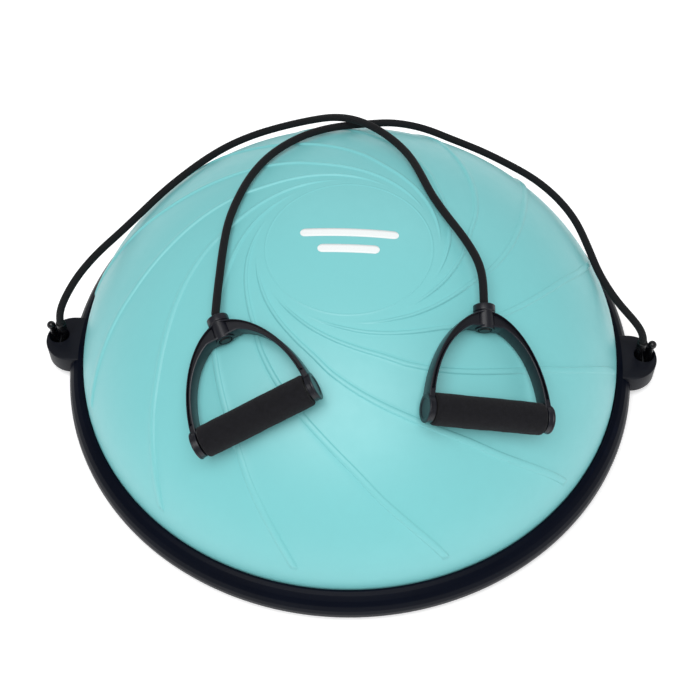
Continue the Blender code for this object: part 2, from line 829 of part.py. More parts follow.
def make_materials():
    return {
        "pvc": make_material("dome_pvc", (0.23, 0.60, 0.61), 0.42),
        "valve": make_material("valve_rubber", (0.20, 0.52, 0.53), 0.55),
        "plug": make_material("plug_plastic", (0.03, 0.03, 0.035), 0.45),
        "plate": make_material("platform_plastic", (0.020, 0.021, 0.026), 0.55),
        "rim": make_material("rim_plastic", (0.014, 0.015, 0.022), 0.34),
        "lug": make_material("lug_plastic", (0.016, 0.017, 0.024), 0.45),
        "steel": make_material("zinc_steel", (0.55, 0.55, 0.56), 0.30, 1.0),
        "rubber": make_material("foot_rubber", (0.018, 0.018, 0.018), 0.85),
        "hook": make_material("hook_plastic", (0.010, 0.010, 0.012), 0.30),
        "cord": make_material("cord_sleeve", (0.012, 0.013, 0.014), 0.75),
        "yoke": make_material("yoke_plastic", (0.022, 0.024, 0.030), 0.38),
        "foam": make_material("grip_foam", (0.026, 0.027, 0.032), 0.92),
        "rod": make_material("rod_plastic", (0.030, 0.030, 0.032), 0.50),
        "stop": make_material("stop_plastic", (0.010, 0.010, 0.011), 0.40),
    }


def build():
    clear_scene()
    group = make_group("balance_dome_trainer")
    cutters = make_group("cutters")
    materials = make_materials()
    build_dome(group, cutters, materials)
    build_platform(group, cutters, materials)
    envelope = add_cutter("rim_envelope", turned("rim_envelope", rim_envelope()), cutters)
    for side, sign in (("left", -1), ("right", 1)):
        build_lug(side, sign, envelope, group, cutters, materials)
        build_hook(side, sign, group, cutters, materials)
    frames = {side: handle_frame(place) for side, place in HANDLES.items()}
    for side, frame in frames.items():
        build_yoke(side, frame, group, cutters, materials)
        build_grip(side, frame, group, materials)
        build_cord_end(side, frame, group, materials)
    # Each cord starts at one lug and ends in the handle on the other side.
    build_cord("left", LEFT_ROUTE, "right", frames["right"], group, materials)
    build_cord("right", RIGHT_ROUTE, "left", frames["left"], group, materials)


build()
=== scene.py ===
import math

import bmesh
import bpy
import numpy as np
from mathutils import Matrix, Vector, noise


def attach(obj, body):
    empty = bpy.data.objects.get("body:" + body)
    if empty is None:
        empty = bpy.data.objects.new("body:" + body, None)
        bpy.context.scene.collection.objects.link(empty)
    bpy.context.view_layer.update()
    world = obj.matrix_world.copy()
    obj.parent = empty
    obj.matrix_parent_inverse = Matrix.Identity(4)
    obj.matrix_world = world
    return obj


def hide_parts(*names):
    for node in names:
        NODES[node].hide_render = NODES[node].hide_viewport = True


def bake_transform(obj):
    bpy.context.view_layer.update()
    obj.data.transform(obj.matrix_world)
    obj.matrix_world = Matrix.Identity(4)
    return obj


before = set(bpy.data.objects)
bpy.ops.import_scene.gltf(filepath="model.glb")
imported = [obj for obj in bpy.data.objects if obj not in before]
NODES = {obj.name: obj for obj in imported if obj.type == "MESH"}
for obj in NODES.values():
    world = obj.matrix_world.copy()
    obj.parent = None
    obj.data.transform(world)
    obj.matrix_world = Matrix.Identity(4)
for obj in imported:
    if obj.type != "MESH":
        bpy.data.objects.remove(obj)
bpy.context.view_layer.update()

# Camera: the direction and distance the object is seen from
VIEW_PLACE = (0.04325, -0.84976, 1.23898)
VIEW_TURN = math.radians(2.9)
VIEW_RISE = 0.9579
VIEW_ROLL = -0.0080
VIEW_LENS = 71.05

# Studio: the sky's strength as a light and as a backdrop, the floor, and the lamps
SKY_LIGHT = 0.38
SKY_SEEN = 0.76
FLOOR_SIZE = 16
FLOOR_Z = -0.0002
FLOOR_GLOW = 0.42
# Each lamp: name, place, what it points at, size, watts
LAMPS = [
    ("main_softbox", (-0.22, -1.02, 2.6), (0, 0, 0.1), (2.4, 2.0), 61),
    ("back_softbox", (0.3, 1.7, 1.5), (0, 0, 0.1), (2.0, 0.8), 4),
    ("right_softbox", (2.3, -0.5, 0.7), (0, 0, 0.05), (1.8, 0.8), 3),
]

# Dome
DOME_RADIUS = 0.2821
DOME_FOOT_Z = 0.0347
DOME_RISE = 0.1756
DOME_POWER = 1.786
DOME_COLUMN_GAPS = 12
RIB_COUNT = 12
RIB_START = math.radians(-10.5)
RIB_HEIGHT = 0.0015
RIB_OUTER = 0.2765
RIB_INNER = 0.0885
RIB_OUTER_FADE = 0.0012
RIB_INNER_FADE = 0.007
CIRCLE_RADIUS = 0.0813
CIRCLE_HEIGHT = 0.00045
CIRCLE_SPREAD = 0.00055
# The dome's foot and bead, then the radii of its inner skin, which lies a wall inside the outer
DOME_BEAD = [
    (DOME_RADIUS, 0.0325),
    (DOME_RADIUS, 0.0306),
    (0.2870, 0.0290),
    (0.2878, 0.0232),
    (0.2795, 0.0232),
    (0.2785, 0.0345),
]
DOME_INNER_RADII = (0.275, 0.262, 0.240, 0.200, 0.150, 0.080)
# Each printed bar: name, middle, half its length, half its width
PRINT_BARS = [
    ("upper", (0, 0.012), 0.048, 0.0050),
    ("lower", (0, -0.008), 0.030, 0.0050),
]
PRINT_ROWS = 41

# Lugs and hooks
LUG_ROOT = 0.286
LUG_CENTRE = 0.298
LUG_RADIUS = 0.0282
LUG_BOTTOM_Z = 0.0105
LUG_TOP_Z = 0.0340
EYE_X, EYE_Y = 0.3130, 0.004
EYE_LONG = 0.0108
EYE_WIDE = 0.0098
EYE_FLOOR_Z = 0.0124
HOOK_BEND = 0.00525
HOOK_BEND_Z = 0.0215
HOOK_RADIUS = 0.0030
HOOK_TIP_X, HOOK_TIP_Z = 0.3186, 0.0513
HOOK_TIP_RADIUS = 0.0046

# Cords
CORD_RADIUS = 0.0040
CORD_STRAIGHT = 0.0045
CORD_POINT_GAP = 0.0020
# How far from the pivot the cord is lined up with the hub, and ends its free part
CORD_LINED_UP = (0.0135, 0.0045)
# A yarn's length along the sleeve and the yarns round it
BRAID = (0.0016, 16)

# Handles
YOKE_HALF_WIDTH = 0.0620
YOKE_RISE = 0.0985
YOKE_POWER = 1.8
YOKE_INNER_HALF = 0.0560
YOKE_INNER_RISE = 0.0860
YOKE_INNER_FLAT = 0.0825
YOKE_HALF_DEPTH = 0.0085
GROOVE_FIRST = 0.20
GROOVE_RAMP = 0.04
GROOVE_DEPTH = 0.0034
HUB_BOTTOM = 0.0812
STOP_BORE_TOP = 0.0890
FOAM_HALF = 0.0548
FOAM_RADIUS = 0.0152
PIVOT = 0.1105
HANDLES = {
    "right": {
        "grip": (0.1349, -0.1632, 0.1664),
        "grip_line": (0.933, 0.145, -0.329),
        "to_hub": (-0.045, 0.955, 0.293),
        "cord_line": (-0.045, 0.955, 0.293),
    },
    "left": {
        "grip": (-0.0772, -0.1805, 0.1763),
        "grip_line": (0.869, 0.315, 0.380),
        "to_hub": (-0.406, 0.895, 0.187),
        "cord_line": (-0.010, 0.994, 0.104),
    },
}

LEFT_ROUTE = [
    (-0.3078, 0.004, 0.0568),
    (-0.3068, 0.0052, 0.070),
    (-0.303, 0.011, 0.080),
    (-0.289, 0.033, 0.096),
    (-0.270, 0.058, 0.106),
    (-0.249, 0.083, 0.111),
    (-0.229, 0.107, 0.116),
    (-0.208, 0.133, 0.121),
    (-0.187, 0.158, 0.123),
    (-0.166, 0.183, 0.122),
    (-0.142, 0.206, 0.121),
    (-0.114, 0.224, 0.121),
    (-0.083, 0.234, 0.125),
    (-0.054, 0.232, 0.137),
    (-0.028, 0.2205, 0.1545),
    (-0.004, 0.203, 0.170),
    (0.018, 0.183, 0.1795),
    (0.039, 0.159, 0.186),
    (0.056, 0.132, 0.192),
    (0.068, 0.102, 0.198),
    (0.079, 0.072, 0.202),
    (0.094, 0.042, 0.205),
    (0.110, 0.014, 0.207),
    (0.124, -0.016, 0.208),
    (0.127, -0.027, 0.207),
    (0.129, -0.037, 0.205),
]
RIGHT_ROUTE = [
    (0.3078, 0.004, 0.0568),
    (0.306, 0.0052, 0.069),
    (0.2985, 0.0105, 0.0785),
    (0.277, 0.031, 0.0905),
    (0.260, 0.061, 0.097),
    (0.249, 0.093, 0.102),
    (0.237, 0.126, 0.105),
    (0.219, 0.155, 0.107),
    (0.195, 0.181, 0.108),
    (0.167, 0.201, 0.109),
    (0.137, 0.217, 0.112),
    (0.104, 0.228, 0.118),
    (0.071, 0.234, 0.128),
    (0.038, 0.231, 0.138),
    (0.007, 0.218, 0.148),
    (-0.023, 0.203, 0.158),
    (-0.049, 0.183, 0.168),
    (-0.072, 0.158, 0.177),
    (-0.091, 0.130, 0.184),
    (-0.105, 0.098, 0.190),
    (-0.114, 0.065, 0.195),
    (-0.120, 0.032, 0.1985),
    (-0.122, -0.003, 0.200),
    (-0.1222, -0.038, 0.200),
    (-0.1223, -0.059, 0.199),
]


# ---------------------------------------------------------------- camera, lights, floor


def make_camera():
    across = Vector((math.cos(VIEW_TURN), math.sin(VIEW_TURN), 0))
    level = Vector((-math.sin(VIEW_TURN), math.cos(VIEW_TURN), 0))
    forward = level * math.cos(VIEW_RISE) - Vector((0, 0, 1)) * math.sin(VIEW_RISE)
    up = across.cross(forward)
    right = across * math.cos(VIEW_ROLL) + up * math.sin(VIEW_ROLL)
    top = up * math.cos(VIEW_ROLL) - across * math.sin(VIEW_ROLL)
    data = bpy.data.cameras.new("camera")
    data.sensor_width = 36
    data.lens = VIEW_LENS
    data.clip_start, data.clip_end = 0.05, 50
    camera = bpy.data.objects.new("camera", data)
    bpy.context.scene.collection.objects.link(camera)
    turn = Matrix((right, top, -forward)).transposed().to_4x4()
    camera.matrix_world = Matrix.Translation(VIEW_PLACE) @ turn
    bpy.context.scene.camera = camera


def area_light(name, place, target, size, watts):
    data = bpy.data.lights.new(name, "AREA")
    data.shape = "RECTANGLE"
    data.size, data.size_y = size
    data.energy = watts
    light = bpy.data.objects.new(name, data)
    light.location = place
    away = Vector(target) - Vector(place)
    light.rotation_euler = away.to_track_quat("-Z", "Y").to_euler()
    bpy.context.scene.collection.objects.link(light)


def make_stage():
    """A plain pale floor under an even sky, brighter to the camera than its light is."""
    world = bpy.data.worlds.new("studio")
    bpy.context.scene.world = world
    world.use_nodes = True
    back = world.node_tree.nodes["Background"]
    back.inputs["Color"].default_value = (1.0, 1.0, 1.0, 1)
    sight = world.node_tree.nodes.new("ShaderNodeLightPath")
    level = world.node_tree.nodes.new("ShaderNodeMath")
    level.operation = "MULTIPLY_ADD"
    world.node_tree.links.new(sight.outputs["Is Camera Ray"], level.inputs[0])
    level.inputs[1].default_value = SKY_SEEN - SKY_LIGHT
    level.inputs[2].default_value = SKY_LIGHT
    world.node_tree.links.new(level.outputs[0], back.inputs["Strength"])
    for lamp in LAMPS:
        area_light(*lamp)
    bpy.ops.mesh.primitive_plane_add(size=FLOOR_SIZE, location=(0, 0, FLOOR_Z))
    floor = bpy.context.object
    floor.name = "floor"
    floor.data.materials.append(floor_material())
    view = bpy.context.scene.view_settings
    view.view_transform = "Standard"
    view.look = "None"


# ---------------------------------------------------------------- materials


class Shade:
    """A Principled material and short ways to add texture nodes to it."""

    def __init__(self, name, metallic=0.0, shine=0.5):
        self.material = bpy.data.materials.new(name)
        self.material.use_nodes = True
        self.tree = self.material.node_tree
        self.shader = self.tree.nodes["Principled BSDF"]
        self.shader.inputs["Metallic"].default_value = metallic
        self.shader.inputs["Specular IOR Level"].default_value = shine
        self.place = self.add("ShaderNodeTexCoord").outputs["Object"]
        self.height = None

    def add(self, kind, **values):
        node = self.tree.nodes.new(kind)
        for key, value in values.items():
            setattr(node, key, value)
        return node

    def link(self, a, b):
        self.tree.links.new(a, b)

    def noise(self, scale, detail=3.0, rough=0.5):
        node = self.add("ShaderNodeTexNoise")
        node.inputs["Scale"].default_value = scale
        node.inputs["Detail"].default_value = detail
        node.inputs["Roughness"].default_value = rough
        self.link(self.place, node.inputs["Vector"])
        return node.outputs["Fac"]

    def voronoi(self, scale):
        node = self.add("ShaderNodeTexVoronoi")
        node.inputs["Scale"].default_value = scale
        self.link(self.place, node.inputs["Vector"])
        return node.outputs["Distance"]

    def spread(self, value, low, high, from_low=0.3, from_high=0.7):
        node = self.add("ShaderNodeMapRange")
        node.inputs["From Min"].default_value = from_low
        node.inputs["From Max"].default_value = from_high
        node.inputs["To Min"].default_value = low
        node.inputs["To Max"].default_value = high
        self.link(value, node.inputs["Value"])
        return node.outputs["Result"]

    def maths(self, operation, a, b=None):
        node = self.add("ShaderNodeMath", operation=operation)
        for socket, value in zip(node.inputs, (a, b)):
            if value is None:
                continue
            if isinstance(value, (int, float)):
                socket.default_value = value
            else:
                self.link(value, socket)
        return node.outputs["Value"]

    def blend(self, factor, a, b):
        """A colour between a and b by factor; a and b are colours or sockets."""
        node = self.add("ShaderNodeMix", data_type="RGBA")
        self.link(factor, node.inputs["Factor"])
        for socket, value in ((node.inputs[6], a), (node.inputs[7], b)):
            if isinstance(value, tuple):
                socket.default_value = (*value, 1)
            else:
                self.link(value, socket)
        return node.outputs[2]

    def edges(self):
        """0 on flat faces and 1 on outer edges, from the mesh's own curvature."""
        node = self.add("ShaderNodeNewGeometry")
        return self.spread(node.outputs["Pointiness"], 0.0, 1.0, 0.50, 0.56)

    def bump(self, height, distance, strength=1.0):
        node = self.add("ShaderNodeBump")
        node.inputs["Distance"].default_value = distance
        node.inputs["Strength"].default_value = strength
        self.link(height, node.inputs["Height"])
        if self.height is not None:
            self.link(self.height, node.inputs["Normal"])
        self.height = node.outputs["Normal"]

    def done(self, colour, roughness):
        self.link(colour, self.shader.inputs["Base Color"])
        self.link(roughness, self.shader.inputs["Roughness"])
        if self.height is not None:
            self.link(self.height, self.shader.inputs["Normal"])
        return self.material


def scaled(colour, factor):
    return tuple(min(1.0, c * factor) for c in colour)


def moulded(name, colour, roughness, grain=900, depth=0.00004, edge=1.5, shine=0.5):
    """Moulded plastic: fine spark-eroded grain, faint cloudiness, and a painted highlight that
    lightens the edges.
    """
    s = Shade(name, shine=shine)
    cloud = s.noise(14, 4)
    body = s.blend(s.spread(cloud, 0, 1), scaled(colour, 0.86), scaled(colour, 1.16))
    # Painted highlight: edges found from the mesh's curvature are lightened by the edge factor,
    # unevenly along their length.
    edge_highlight = s.maths("MULTIPLY", s.edges(), s.spread(s.noise(160, 3), 0.2, 1.0))
    body = s.blend(edge_highlight, body, scaled(colour, edge))
    fine = s.noise(grain, 2, 0.6)
    s.bump(fine, depth)
    s.bump(s.noise(60, 2), 0.00008, 0.5)
    patches = s.spread(cloud, roughness - 0.03, roughness + 0.03)
    return s.done(body, s.maths("ADD", s.spread(fine, -0.04, 0.05), patches))


def dome_material():
    colour = (0.198, 0.585, 0.600)
    s = Shade("dome_pvc")
    cloud = s.noise(5, 3)
    body = s.blend(s.spread(cloud, 0, 1), scaled(colour, 0.975), scaled(colour, 1.02))
    mottle = s.noise(85, 4, 0.6)
    body = s.blend(s.spread(mottle, 0, 0.30), body, scaled(colour, 0.95))
    dust = s.spread(s.voronoi(260), 1.0, 0.0, 0.0, 0.09)
    body = s.blend(s.maths("MULTIPLY", dust, 0.12), body, (0.55, 0.74, 0.74))
    fine = s.noise(1500, 3, 0.65)
    s.bump(fine, 0.00005)
    s.bump(s.noise(42, 2), 0.00030, 0.5)
    rough = s.maths("ADD", s.spread(mottle, -0.03, 0.03), s.spread(fine, 0.38, 0.46))
    return s.done(body, rough)


def print_material():
    colour = (0.86, 0.90, 0.90)
    s = Shade("print_ink")
    grain = s.noise(700, 3, 0.7)
    body = s.blend(s.spread(grain, 0, 1), scaled(colour, 0.94), colour)
    s.bump(grain, 0.00003)
    return s.done(body, s.spread(grain, 0.42, 0.58))


def foam_material():
    colour = (0.0085, 0.0085, 0.0105)
    s = Shade("grip_foam", shine=0.15)
    cells = s.voronoi(1500)
    soft = s.noise(220, 4, 0.7)
    body = s.blend(s.spread(soft, 0, 1), scaled(colour, 0.75), scaled(colour, 1.35))
    # Painted shade: the pits of the foam's cells, which the bump below sinks, are coloured darker.
    body = s.blend(s.spread(cells, 0.55, 0.0, 0.0, 0.35), body, scaled(colour, 0.30))
    s.bump(s.spread(cells, 0, 1, 0.0, 0.5), 0.00022, 0.9)
    s.bump(soft, 0.00040, 0.7)
    s.shader.inputs["Sheen Weight"].default_value = 0.04
    s.shader.inputs["Sheen Roughness"].default_value = 0.5
    return s.done(body, s.spread(soft, 0.88, 1.0))


def sleeve_material():
    """A braided sleeve: yarns crossing on two slants, read from the tube's own UVs."""
    colour = (0.0042, 0.0046, 0.0056)
    s = Shade("cord_sleeve", shine=0.2)
    uv = s.add("ShaderNodeUVMap", uv_map="braid").outputs["UV"]
    split = s.add("ShaderNodeSeparateXYZ")
    s.link(uv, split.inputs["Vector"])
    along, round_it = split.outputs["X"], split.outputs["Y"]
    slants = []
    for sign in (1, -1):
        phase = s.maths("ADD", along, s.maths("MULTIPLY", round_it, sign))
        wave = s.maths("SINE", s.maths("MULTIPLY", phase, math.pi))
        slants.append(s.maths("ABSOLUTE", wave))
    weave = s.maths("MAXIMUM", slants[0], slants[1])
    check = s.maths("MULTIPLY", slants[0], slants[1])
    fuzz = s.noise(2600, 3, 0.7)
    body = s.blend(s.spread(check, 0, 1, 0.1, 0.9), scaled(colour, 0.55), scaled(colour, 1.65))
    body = s.blend(s.spread(fuzz, 0, 0.5), body, scaled(colour, 2.0))
    s.bump(weave, 0.00022)
    s.bump(fuzz, 0.00012, 0.7)
    s.shader.inputs["Sheen Weight"].default_value = 0.03
    s.shader.inputs["Sheen Roughness"].default_value = 0.5
    return s.done(body, s.spread(fuzz, 0.70, 0.88))


def steel_material(name, colour):
    s = Shade(name, metallic=1.0)
    cloud = s.noise(120, 4, 0.6)
    body = s.blend(s.spread(cloud, 0, 1), scaled(colour, 0.75), scaled(colour, 1.15))
    s.bump(s.noise(900, 2), 0.00003)
    return s.done(body, s.spread(cloud, 0.26, 0.46))


def floor_material():
    colour = (0.90, 0.90, 0.905)
    s = Shade("floor_paper")
    grain = s.noise(60, 3)
    body = s.blend(s.spread(grain, 0, 1), scaled(colour, 0.985), colour)
    s.shader.inputs["Emission Color"].default_value = (1, 1, 1, 1)
    s.shader.inputs["Emission Strength"].default_value = FLOOR_GLOW
    return s.done(body, s.spread(grain, 0.85, 0.95))


def make_materials():
    return {
        "dome_pvc": dome_material(),
        "print_ink": print_material(),
        "valve_rubber": moulded("valve_rubber", (0.17, 0.49, 0.50), 0.55),
        "plug_plastic": moulded("plug_plastic", (0.020, 0.021, 0.025), 0.42),
        "platform_plastic": moulded(
            "platform_plastic", (0.015, 0.016, 0.020), 0.50, grain=500, depth=0.00008
        ),
        "rim_plastic": moulded("rim_plastic", (0.0016, 0.0028, 0.0075), 0.36, grain=700, shine=0.06),
        "lug_plastic": moulded("lug_plastic", (0.0040, 0.0048, 0.0085), 0.45, grain=800, shine=0.18),
        "zinc_steel": steel_material("zinc_steel", (0.52, 0.53, 0.55)),
        "pin_steel": steel_material("pin_steel", (0.035, 0.036, 0.040)),
        "foot_rubber": moulded("foot_rubber", (0.014, 0.014, 0.014), 0.85, grain=300, depth=0.00012),
        # The hook's edge=2.0 paints a stronger highlight on its edges.
        "hook_plastic": moulded("hook_plastic", (0.0020, 0.0020, 0.0026), 0.28, edge=2.0, shine=0.4),
        "cord_sleeve": sleeve_material(),
        # The yoke's edge=2.0 paints a stronger highlight on its edges.
        "yoke_plastic": moulded("yoke_plastic", (0.0040, 0.0046, 0.0085), 0.34, edge=2.0, shine=0.38),
        "grip_foam": foam_material(),
        "rod_plastic": moulded("rod_plastic", (0.025, 0.025, 0.028), 0.50),
        "stop_plastic": moulded("stop_plastic", (0.0040, 0.0040, 0.0050), 0.35, shine=0.3),
    }


# ---------------------------------------------------------------- mesh helpers


def new_piece(name, verts, faces, material, sharp=40):
    """A shown mesh, smooth but for edges over the given angle."""
    mesh = bpy.data.meshes.new(name)
    mesh.from_pydata([tuple(v) for v in verts], [], faces)
    work = bmesh.new()
    work.from_mesh(mesh)
    bmesh.ops.recalc_face_normals(work, faces=work.faces)
    work.to_mesh(mesh)
    work.free()
    mesh.update()
    mesh.materials.append(material)
    mesh.polygons.foreach_set("use_smooth", [True] * len(mesh.polygons))
    if sharp:
        mesh.set_sharp_from_angle(angle=math.radians(sharp))
    piece = bpy.data.objects.new(name, mesh)
    bpy.context.scene.collection.objects.link(piece)
    return piece


def settle(piece, body, slot, *nodes):
    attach(piece, body)
    if nodes:
        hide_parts(*nodes)
    return piece


def ring_faces(rings, columns, closed_rings=False, flip=False):
    """Quads between rings of points, each ring closed on itself."""
    faces = []
    spans = rings if closed_rings else rings - 1
    for i in range(spans):
        a, b = i * columns, ((i + 1) % rings) * columns
        for j in range(columns):
            k = (j + 1) % columns
            face = (a + j, a + k, b + k, b + j)
            faces.append(face[::-1] if flip else face)
    return faces


def rounded(profile, radius, steps=4, closed=False):
    """The profile with every corner turned into an arc, as large as its sides leave room for."""
    points = [Vector(p) for p in profile]
    count = len(points)
    out = []
    for i, corner in enumerate(points):
        if not closed and i in (0, count - 1):
            out.append(tuple(corner))
            continue
        before, after = points[i - 1] - corner, points[(i + 1) % count] - corner
        room = min(before.length, after.length) * 0.49
        angle = before.angle(after)
        if angle > math.pi * 0.97 or room < 1e-7:
            out.append(tuple(corner))
            continue
        back = min(radius / math.tan(angle / 2), room)
        start, end = corner + before.normalized() * back, corner + after.normalized() * back
        for k in range(steps + 1):
            t = k / steps
            out.append(tuple(start * (1 - t) ** 2 + corner * 2 * t * (1 - t) + end * t**2))
    return out


def turned(name, profile, material, steps=96, closed=False, sharp=40):
    """A solid of revolution about Z from (radius, height) points, down the outside."""
    verts, faces, rings = [], [], []
    for r, z in profile:
        if r < 1e-9:
            rings.append([len(verts)] * steps)
            verts.append((0, 0, z))
            continue
        rings.append(list(range(len(verts), len(verts) + steps)))
        for j in range(steps):
            a = 2 * math.pi * j / steps
            verts.append((r * math.cos(a), r * math.sin(a), z))
    pairs = list(zip(rings, rings[1:]))
    if closed:
        pairs.append((rings[-1], rings[0]))
    for upper, lower in pairs:
        for j in range(steps):
            k = (j + 1) % steps
            face = []
            for v in (lower[j], lower[k], upper[k], upper[j]):
                if v not in face:
                    face.append(v)
            if len(face) > 2:
                faces.append(tuple(face))
    return new_piece(name, verts, faces, material, sharp)


def swept(name, line, radius, material, sides, uv_scale=None):
    """A closed tube along the line."""
    line = [Vector(p) for p in line]
    count = len(line)
    tangents = []
    for i in range(count):
        a, b = line[max(i - 1, 0)], line[min(i + 1, count - 1)]
        tangents.append((b - a).normalized())
    side = tangents[0].orthogonal().normalized()
    verts = []
    for i in range(count):
        if i:
            side = tangents[i - 1].rotation_difference(tangents[i]) @ side
            side = (side - tangents[i] * side.dot(tangents[i])).normalized()
        up = tangents[i].cross(side)
        for j in range(sides):
            a = 2 * math.pi * j / sides
            verts.append(line[i] + (side * math.cos(a) + up * math.sin(a)) * radius)
    faces = ring_faces(count, sides)
    faces.append(tuple(range(sides))[::-1])
    faces.append(tuple(range((count - 1) * sides, count * sides)))
    piece = new_piece(name, verts, faces, material, sharp=50)
    if uv_scale:
        add_braid_uv(piece, line, sides, uv_scale)
    return piece


def add_braid_uv(piece, line, sides, scale):
    """UVs that count yarns: X along the tube and Y round it."""
    along = [0.0]
    for a, b in zip(line, line[1:]):
        along.append(along[-1] + (b - a).length / scale[0])
    layer = piece.data.uv_layers.new(name="braid")
    for polygon in piece.data.polygons:
        wraps = {v % sides for v in polygon.vertices}
        for loop, vertex in zip(polygon.loop_indices, polygon.vertices):
            column = vertex % sides
            if column == 0 and (sides - 1) in wraps:
                column = sides
            layer.data[loop].uv = (along[vertex // sides], column * scale[1] / sides)


def ball(name, centre, radius, material, steps=24):
    profile = []
    for i in range(steps // 2 + 1):
        a = math.pi * i / (steps // 2)
        profile.append((radius * math.sin(a) if 0 < i < steps // 2 else 0, radius * math.cos(a)))
    piece = turned(name, profile, material, steps, sharp=0)
    piece.data.transform(Matrix.Translation(centre))
    return piece


# ---------------------------------------------------------------- cords


def handle_frame(side):
    place = HANDLES[side]
    across = Vector(place["grip_line"]).normalized()
    to_hub = Vector(place["to_hub"])
    to_hub = (to_hub - across * to_hub.dot(across)).normalized()
    turn = Matrix((across, to_hub, across.cross(to_hub))).transposed().to_4x4()
    return Matrix.Translation(place["grip"]) @ turn


FRAMES = {side: handle_frame(side) for side in HANDLES}
TO_LINE_X = Matrix.Rotation(math.pi / 2, 4, "Y")
TO_LINE_Y = Matrix.Rotation(-math.pi / 2, 4, "X")


def smooth_line(points, spacing):
    """Points at an even spacing along a Catmull-Rom curve through the given ones."""
    route = [Vector(p) for p in points]
    route = [2 * route[0] - route[1]] + route + [2 * route[-1] - route[-2]]
    fine = []
    for i in range(1, len(route) - 2):
        p0, p1, p2, p3 = route[i - 1 : i + 3]
        knots = [0.0]
        for a, b in ((p0, p1), (p1, p2), (p2, p3)):
            knots.append(knots[-1] + math.sqrt((b - a).length))
        t0, t1, t2, t3 = knots
        for k in range(24):
            t = t1 + (t2 - t1) * k / 24
            a1 = p0 * ((t1 - t) / (t1 - t0)) + p1 * ((t - t0) / (t1 - t0))
            a2 = p1 * ((t2 - t) / (t2 - t1)) + p2 * ((t - t1) / (t2 - t1))
            a3 = p2 * ((t3 - t) / (t3 - t2)) + p3 * ((t - t2) / (t3 - t2))
            b1 = a1 * ((t2 - t) / (t2 - t0)) + a2 * ((t - t0) / (t2 - t0))
            b2 = a2 * ((t3 - t) / (t3 - t1)) + a3 * ((t - t1) / (t3 - t1))
            fine.append(b1 * ((t2 - t) / (t2 - t1)) + b2 * ((t - t1) / (t2 - t1)))
    fine.append(route[-2])
    co = np.array([tuple(p) for p in fine])
    along = np.concatenate([[0], np.cumsum(np.linalg.norm(np.diff(co, axis=0), axis=1))])
    at = np.linspace(0, along[-1], max(2, round(along[-1] / spacing)) + 1)
    return np.stack([np.interp(at, along, co[:, k]) for k in range(3)], axis=1)


def softened(line, passes=30):
    """The line with its small unevenness rubbed out and its ends kept."""
    line = line.copy()
    for _ in range(passes):
        line[2:-2] += 0.25 * (line[1:-3] + line[3:-1] - 2 * line[2:-2])
    return line


def build_cord(side, route, handle, materials):
    """The cord from one lug's hook over the dome's back to the handle on the other side."""
    pivot = FRAMES[handle] @ Vector((0, PIVOT, 0))
    away = Vector(HANDLES[handle]["cord_line"]).normalized()
    points = [Vector(route[0]), Vector(route[0]) + Vector((0, 0, CORD_STRAIGHT))]
    points += [Vector(p) for p in route[1:]]
    points += [pivot + away * far for far in CORD_LINED_UP] + [pivot]
    line = softened(smooth_line(points, CORD_POINT_GAP))
    sleeve = materials["cord_sleeve"]
    cord = swept(f"elastic_cord_{side}", line, CORD_RADIUS, sleeve, sides=24, uv_scale=BRAID)
    bend = ball(f"cord_bend_{handle}", pivot, CORD_RADIUS, sleeve)
    settle(bend, f"{handle}_cord_end", "cord_sleeve")
    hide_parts(f"cord_{side}", f"cord_tail_{handle}")
    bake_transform(cord)


# ---------------------------------------------------------------- dome


def dome_at(r):
    """Height of the dome's skin at a radius."""
    share = np.clip(1 - (np.asarray(r, float) / DOME_RADIUS) ** 2, 0, 1)
    return DOME_FOOT_Z + DOME_RISE * share ** (1 / DOME_POWER)


# A rib's run over the dome: (radius, degrees turned)
RIB_PATH = [
    (0.0890, -130.0),
    (0.0930, -115.0),
    (0.1000, -97.0),
    (0.1080, -82.0),
    (0.1195, -67.0),
    (0.1385, -53.0),
    (0.1600, -39.8),
    (0.1810, -29.0),
    (0.2100, -17.5),
    (0.2400, -8.8),
    (0.2700, 0.0),
    (0.2770, 2.1),
]


def rib_turn(r):
    """How far round the dome a rib has turned at a radius, in radians."""
    radii = np.array([p[0] for p in RIB_PATH])
    turns = np.radians([p[1] for p in RIB_PATH])
    slopes = np.gradient(turns, radii)
    r = min(max(r, radii[0]), radii[-1])
    i = min(int(np.searchsorted(radii, r, side="right")) - 1, len(radii) - 2)
    h = radii[i + 1] - radii[i]
    t = (r - radii[i]) / h
    a, b = turns[i], turns[i + 1]
    ma, mb = slopes[i] * h, slopes[i + 1] * h
    return (
        (2 * t**3 - 3 * t**2 + 1) * a
        + (t**3 - 2 * t**2 + t) * ma
        + (3 * t**2 - 2 * t**3) * b
        + (t**3 - t**2) * mb
    )


def rib_half_width(r):
    return float(np.interp(r, [0.089, 0.100, 0.180, 0.270], [0.0012, 0.0017, 0.0028, 0.0034]))


def rib_rise(r):
    """1 along a rib and 0 past its two ends."""
    outer = np.clip((RIB_OUTER + RIB_OUTER_FADE - r) / RIB_OUTER_FADE, 0, 1)
    inner = np.clip((r - RIB_INNER) / RIB_INNER_FADE, 0, 1)
    return float(outer * outer * (3 - 2 * outer) * inner * inner * (3 - 2 * inner))


# A rib's section: (share of its half width, added distance, share of its height)
RIB_SECTION = [
    (-1, -0.00075, 0.0),
    (-1, -0.00020, 0.10),
    (-1, 0.00035, 0.80),
    (-1, 0.00095, 1.0),
    (0, 0.0, 1.06),
    (1, -0.00095, 1.0),
    (1, -0.00035, 0.80),
    (1, 0.00020, 0.10),
    (1, 0.00075, 0.0),
]


